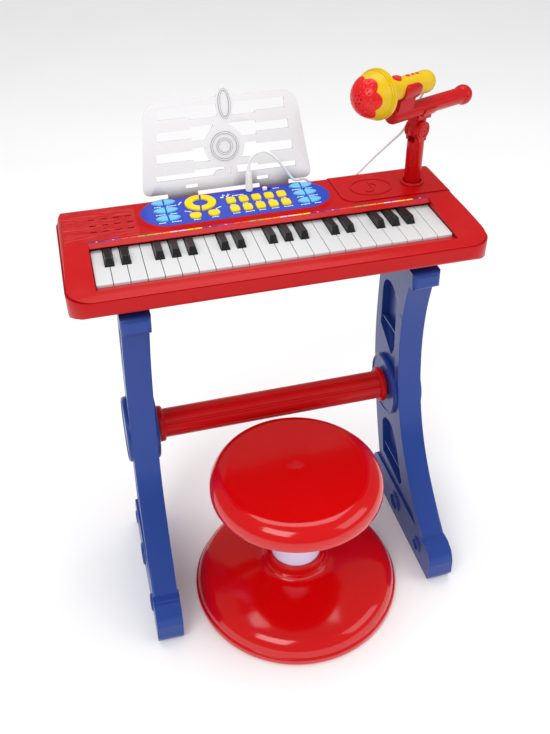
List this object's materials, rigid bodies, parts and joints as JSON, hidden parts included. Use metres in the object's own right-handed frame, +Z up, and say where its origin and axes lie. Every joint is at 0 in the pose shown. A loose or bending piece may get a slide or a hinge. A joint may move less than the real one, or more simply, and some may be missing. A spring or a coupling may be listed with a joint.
{
  "type": "toy electronic keyboard",
  "caption": "Toy electronic keyboard on a two-legged stand, with mini keys, a button panel, a music rest, a microphone on a tilting boom and a round stool.",
  "frame": {"origin": "centre of the whole object's bounding box in plan, on the floor", "axes": "+X to the player's right along the keys, +Y away from the player, +Z up"},
  "size_m": [0.5668, 0.4368, 0.6815],
  "materials": {
    "case_red": "injection moulded, light gloss",
    "panel_blue": "gloss",
    "light_blue": "satin",
    "button_yellow": "satin",
    "white_plastic": "gloss",
    "board_green": "solder mask",
    "speaker_black": "matt",
    "mic_yellow": "satin",
    "mic_red": "gloss",
    "cable_white": "soft vinyl",
    "leg_blue": "moulded, light gloss",
    "steel": "zinc plated",
    "stool_red": "high gloss",
    "lilac_white": "gloss",
    "key_white": "gloss",
    "key_black": "satin"
  },
  "bodies": {
    "stand": {"upper_case": "case_red", "lower_case": "case_red", "control_panel": "panel_blue", "circuit_boards": "board_green", "speaker": "speaker_black", "mic_post": "case_red", "mic_cable": "cable_white", "leg_left": "leg_blue", "leg_right": "leg_blue", "crossbar": "case_red", "screws": "steel"},
    "boom": {"mic_boom": "case_red", "mic_body": "mic_yellow", "mic_grille": "mic_red"},
    "music_rest": {"music_rest": "white_plastic"},
    "stool": {"stool_base": "stool_red", "stool_column": "lilac_white", "stool_seat": "stool_red"},
    "battery_door": {"battery_door": "case_red"},
    "power_switch": {"power_switch": "white_plastic"},
    "tone_buttons": {"tone_buttons": "light_blue"},
    "rhythm_buttons": {"rhythm_buttons": "button_yellow"},
    "mic_buttons": {"mic_buttons": "mic_red"},
    "white_key_01": {"white_key_01": "key_white"},
    "white_key_02": {"white_key_02": "key_white"},
    "white_key_03": {"white_key_03": "key_white"},
    "white_key_04": {"white_key_04": "key_white"},
    "white_key_05": {"white_key_05": "key_white"},
    "white_key_06": {"white_key_06": "key_white"},
    "white_key_07": {"white_key_07": "key_white"},
    "white_key_08": {"white_key_08": "key_white"},
    "white_key_09": {"white_key_09": "key_white"},
    "white_key_10": {"white_key_10": "key_white"},
    "white_key_11": {"white_key_11": "key_white"},
    "white_key_12": {"white_key_12": "key_white"},
    "white_key_13": {"white_key_13": "key_white"},
    "white_key_14": {"white_key_14": "key_white"},
    "white_key_15": {"white_key_15": "key_white"},
    "white_key_16": {"white_key_16": "key_white"},
    "white_key_17": {"white_key_17": "key_white"},
    "white_key_18": {"white_key_18": "key_white"},
    "white_key_19": {"white_key_19": "key_white"},
    "white_key_20": {"white_key_20": "key_white"},
    "white_key_21": {"white_key_21": "key_white"},
    "white_key_22": {"white_key_22": "key_white"},
    "black_key_01": {"black_key_01": "key_black"},
    "black_key_02": {"black_key_02": "key_black"},
    "black_key_03": {"black_key_03": "key_black"},
    "black_key_04": {"black_key_04": "key_black"},
    "black_key_05": {"black_key_05": "key_black"},
    "black_key_06": {"black_key_06": "key_black"},
    "black_key_07": {"black_key_07": "key_black"},
    "black_key_08": {"black_key_08": "key_black"},
    "black_key_09": {"black_key_09": "key_black"},
    "black_key_10": {"black_key_10": "key_black"},
    "black_key_11": {"black_key_11": "key_black"},
    "black_key_12": {"black_key_12": "key_black"},
    "black_key_13": {"black_key_13": "key_black"},
    "black_key_14": {"black_key_14": "key_black"},
    "black_key_15": {"black_key_15": "key_black"}
  },
  "joints": [
    {"name": "boom_tilt", "type": "hinge", "parent": "stand", "child": "boom", "pos_m": [0.18969, 0.13908, 0.5845], "axis": [-0.4695, 0.8829, 0], "range_deg": [-35, 45]},
    {"name": "music_rest_lift", "type": "slide", "parent": "stand", "child": "music_rest", "axis": [0, 0.2588, 0.9659], "range_m": [0, 0.06]},
    {"name": "move_stool", "type": "slide", "parent": "stand", "child": "stool", "axis": [0, -1, 0], "range_m": [0, 0.3]},
    {"name": "battery_slide", "type": "slide", "parent": "stand", "child": "battery_door", "axis": [0, 1, 0], "range_m": [0, 0.066]},
    {"name": "on_off_slide", "type": "slide", "parent": "stand", "child": "power_switch", "axis": [1, 0, 0], "range_m": [0, 0.005]},
    {"name": "button_tone", "type": "slide", "parent": "stand", "child": "tone_buttons", "axis": [0, 0, -1], "range_m": [0, 0.0012], "stiffness_N_per_m": 800, "springref_m": -0.001},
    {"name": "button_rhythm", "type": "slide", "parent": "stand", "child": "rhythm_buttons", "axis": [0, 0, -1], "range_m": [0, 0.0012], "stiffness_N_per_m": 800, "springref_m": -0.001},
    {"name": "button_mic", "type": "slide", "parent": "boom", "child": "mic_buttons", "axis": [-0.0647, -0.0344, -0.9973], "range_m": [0, 0.0008], "stiffness_N_per_m": 400, "springref_m": -0.001},
    {"name": "play_white_01", "type": "hinge", "parent": "stand", "child": "white_key_01", "pos_m": [-0.23731, 0.15508, 0.486], "axis": [1, 0, 0], "range_deg": [0, 1.5], "stiffness_Nm_per_rad": 1, "springref_deg": -2.86},
    {"name": "play_white_02", "type": "hinge", "parent": "stand", "child": "white_key_02", "pos_m": [-0.21731, 0.15508, 0.486], "axis": [1, 0, 0], "range_deg": [0, 1.5], "stiffness_Nm_per_rad": 1, "springref_deg": -2.86},
    {"name": "play_white_03", "type": "hinge", "parent": "stand", "child": "white_key_03", "pos_m": [-0.19731, 0.15508, 0.486], "axis": [1, 0, 0], "range_deg": [0, 1.5], "stiffness_Nm_per_rad": 1, "springref_deg": -2.86},
    {"name": "play_white_04", "type": "hinge", "parent": "stand", "child": "white_key_04", "pos_m": [-0.17731, 0.15508, 0.486], "axis": [1, 0, 0], "range_deg": [0, 1.5], "stiffness_Nm_per_rad": 1, "springref_deg": -2.86},
    {"name": "play_white_05", "type": "hinge", "parent": "stand", "child": "white_key_05", "pos_m": [-0.15731, 0.15508, 0.486], "axis": [1, 0, 0], "range_deg": [0, 1.5], "stiffness_Nm_per_rad": 1, "springref_deg": -2.86},
    {"name": "play_white_06", "type": "hinge", "parent": "stand", "child": "white_key_06", "pos_m": [-0.13731, 0.15508, 0.486], "axis": [1, 0, 0], "range_deg": [0, 1.5], "stiffness_Nm_per_rad": 1, "springref_deg": -2.86},
    {"name": "play_white_07", "type": "hinge", "parent": "stand", "child": "white_key_07", "pos_m": [-0.11731, 0.15508, 0.486], "axis": [1, 0, 0], "range_deg": [0, 1.5], "stiffness_Nm_per_rad": 1, "springref_deg": -2.86},
    {"name": "play_white_08", "type": "hinge", "parent": "stand", "child": "white_key_08", "pos_m": [-0.09731, 0.15508, 0.486], "axis": [1, 0, 0], "range_deg": [0, 1.5], "stiffness_Nm_per_rad": 1, "springref_deg": -2.86},
    {"name": "play_white_09", "type": "hinge", "parent": "stand", "child": "white_key_09", "pos_m": [-0.07731, 0.15508, 0.486], "axis": [1, 0, 0], "range_deg": [0, 1.5], "stiffness_Nm_per_rad": 1, "springref_deg": -2.86},
    {"name": "play_white_10", "type": "hinge", "parent": "stand", "child": "white_key_10", "pos_m": [-0.05731, 0.15508, 0.486], "axis": [1, 0, 0], "range_deg": [0, 1.5], "stiffness_Nm_per_rad": 1, "springref_deg": -2.86},
    {"name": "play_white_11", "type": "hinge", "parent": "stand", "child": "white_key_11", "pos_m": [-0.03731, 0.15508, 0.486], "axis": [1, 0, 0], "range_deg": [0, 1.5], "stiffness_Nm_per_rad": 1, "springref_deg": -2.86},
    {"name": "play_white_12", "type": "hinge", "parent": "stand", "child": "white_key_12", "pos_m": [-0.01731, 0.15508, 0.486], "axis": [1, 0, 0], "range_deg": [0, 1.5], "stiffness_Nm_per_rad": 1, "springref_deg": -2.86},
    {"name": "play_white_13", "type": "hinge", "parent": "stand", "child": "white_key_13", "pos_m": [0.00269, 0.15508, 0.486], "axis": [1, 0, 0], "range_deg": [0, 1.5], "stiffness_Nm_per_rad": 1, "springref_deg": -2.86},
    {"name": "play_white_14", "type": "hinge", "parent": "stand", "child": "white_key_14", "pos_m": [0.02269, 0.15508, 0.486], "axis": [1, 0, 0], "range_deg": [0, 1.5], "stiffness_Nm_per_rad": 1, "springref_deg": -2.86},
    {"name": "play_white_15", "type": "hinge", "parent": "stand", "child": "white_key_15", "pos_m": [0.04269, 0.15508, 0.486], "axis": [1, 0, 0], "range_deg": [0, 1.5], "stiffness_Nm_per_rad": 1, "springref_deg": -2.86},
    {"name": "play_white_16", "type": "hinge", "parent": "stand", "child": "white_key_16", "pos_m": [0.06269, 0.15508, 0.486], "axis": [1, 0, 0], "range_deg": [0, 1.5], "stiffness_Nm_per_rad": 1, "springref_deg": -2.86},
    {"name": "play_white_17", "type": "hinge", "parent": "stand", "child": "white_key_17", "pos_m": [0.08269, 0.15508, 0.486], "axis": [1, 0, 0], "range_deg": [0, 1.5], "stiffness_Nm_per_rad": 1, "springref_deg": -2.86},
    {"name": "play_white_18", "type": "hinge", "parent": "stand", "child": "white_key_18", "pos_m": [0.10269, 0.15508, 0.486], "axis": [1, 0, 0], "range_deg": [0, 1.5], "stiffness_Nm_per_rad": 1, "springref_deg": -2.86},
    {"name": "play_white_19", "type": "hinge", "parent": "stand", "child": "white_key_19", "pos_m": [0.12269, 0.15508, 0.486], "axis": [1, 0, 0], "range_deg": [0, 1.5], "stiffness_Nm_per_rad": 1, "springref_deg": -2.86},
    {"name": "play_white_20", "type": "hinge", "parent": "stand", "child": "white_key_20", "pos_m": [0.14269, 0.15508, 0.486], "axis": [1, 0, 0], "range_deg": [0, 1.5], "stiffness_Nm_per_rad": 1, "springref_deg": -2.86},
    {"name": "play_white_21", "type": "hinge", "parent": "stand", "child": "white_key_21", "pos_m": [0.16269, 0.15508, 0.486], "axis": [1, 0, 0], "range_deg": [0, 1.5], "stiffness_Nm_per_rad": 1, "springref_deg": -2.86},
    {"name": "play_white_22", "type": "hinge", "parent": "stand", "child": "white_key_22", "pos_m": [0.18269, 0.15508, 0.486], "axis": [1, 0, 0], "range_deg": [0, 1.5], "stiffness_Nm_per_rad": 1, "springref_deg": -2.86},
    {"name": "play_black_01", "type": "hinge", "parent": "stand", "child": "black_key_01", "pos_m": [-0.22731, 0.15508, 0.486], "axis": [1, 0, 0], "range_deg": [0, 1.6], "stiffness_Nm_per_rad": 1, "springref_deg": -2.86},
    {"name": "play_black_02", "type": "hinge", "parent": "stand", "child": "black_key_02", "pos_m": [-0.20731, 0.15508, 0.486], "axis": [1, 0, 0], "range_deg": [0, 1.6], "stiffness_Nm_per_rad": 1, "springref_deg": -2.86},
    {"name": "play_black_03", "type": "hinge", "parent": "stand", "child": "black_key_03", "pos_m": [-0.16731, 0.15508, 0.486], "axis": [1, 0, 0], "range_deg": [0, 1.6], "stiffness_Nm_per_rad": 1, "springref_deg": -2.86},
    {"name": "play_black_04", "type": "hinge", "parent": "stand", "child": "black_key_04", "pos_m": [-0.14731, 0.15508, 0.486], "axis": [1, 0, 0], "range_deg": [0, 1.6], "stiffness_Nm_per_rad": 1, "springref_deg": -2.86},
    {"name": "play_black_05", "type": "hinge", "parent": "stand", "child": "black_key_05", "pos_m": [-0.12731, 0.15508, 0.486], "axis": [1, 0, 0], "range_deg": [0, 1.6], "stiffness_Nm_per_rad": 1, "springref_deg": -2.86},
    {"name": "play_black_06", "type": "hinge", "parent": "stand", "child": "black_key_06", "pos_m": [-0.08731, 0.15508, 0.486], "axis": [1, 0, 0], "range_deg": [0, 1.6], "stiffness_Nm_per_rad": 1, "springref_deg": -2.86},
    {"name": "play_black_07", "type": "hinge", "parent": "stand", "child": "black_key_07", "pos_m": [-0.06731, 0.15508, 0.486], "axis": [1, 0, 0], "range_deg": [0, 1.6], "stiffness_Nm_per_rad": 1, "springref_deg": -2.86},
    {"name": "play_black_08", "type": "hinge", "parent": "stand", "child": "black_key_08", "pos_m": [-0.02731, 0.15508, 0.486], "axis": [1, 0, 0], "range_deg": [0, 1.6], "stiffness_Nm_per_rad": 1, "springref_deg": -2.86},
    {"name": "play_black_09", "type": "hinge", "parent": "stand", "child": "black_key_09", "pos_m": [-0.00731, 0.15508, 0.486], "axis": [1, 0, 0], "range_deg": [0, 1.6], "stiffness_Nm_per_rad": 1, "springref_deg": -2.86},
    {"name": "play_black_10", "type": "hinge", "parent": "stand", "child": "black_key_10", "pos_m": [0.01269, 0.15508, 0.486], "axis": [1, 0, 0], "range_deg": [0, 1.6], "stiffness_Nm_per_rad": 1, "springref_deg": -2.86},
    {"name": "play_black_11", "type": "hinge", "parent": "stand", "child": "black_key_11", "pos_m": [0.05269, 0.15508, 0.486], "axis": [1, 0, 0], "range_deg": [0, 1.6], "stiffness_Nm_per_rad": 1, "springref_deg": -2.86},
    {"name": "play_black_12", "type": "hinge", "parent": "stand", "child": "black_key_12", "pos_m": [0.07269, 0.15508, 0.486], "axis": [1, 0, 0], "range_deg": [0, 1.6], "stiffness_Nm_per_rad": 1, "springref_deg": -2.86},
    {"name": "play_black_13", "type": "hinge", "parent": "stand", "child": "black_key_13", "pos_m": [0.11269, 0.15508, 0.486], "axis": [1, 0, 0], "range_deg": [0, 1.6], "stiffness_Nm_per_rad": 1, "springref_deg": -2.86},
    {"name": "play_black_14", "type": "hinge", "parent": "stand", "child": "black_key_14", "pos_m": [0.13269, 0.15508, 0.486], "axis": [1, 0, 0], "range_deg": [0, 1.6], "stiffness_Nm_per_rad": 1, "springref_deg": -2.86},
    {"name": "play_black_15", "type": "hinge", "parent": "stand", "child": "black_key_15", "pos_m": [0.15269, 0.15508, 0.486], "axis": [1, 0, 0], "range_deg": [0, 1.6], "stiffness_Nm_per_rad": 1, "springref_deg": -2.86}
  ]
}
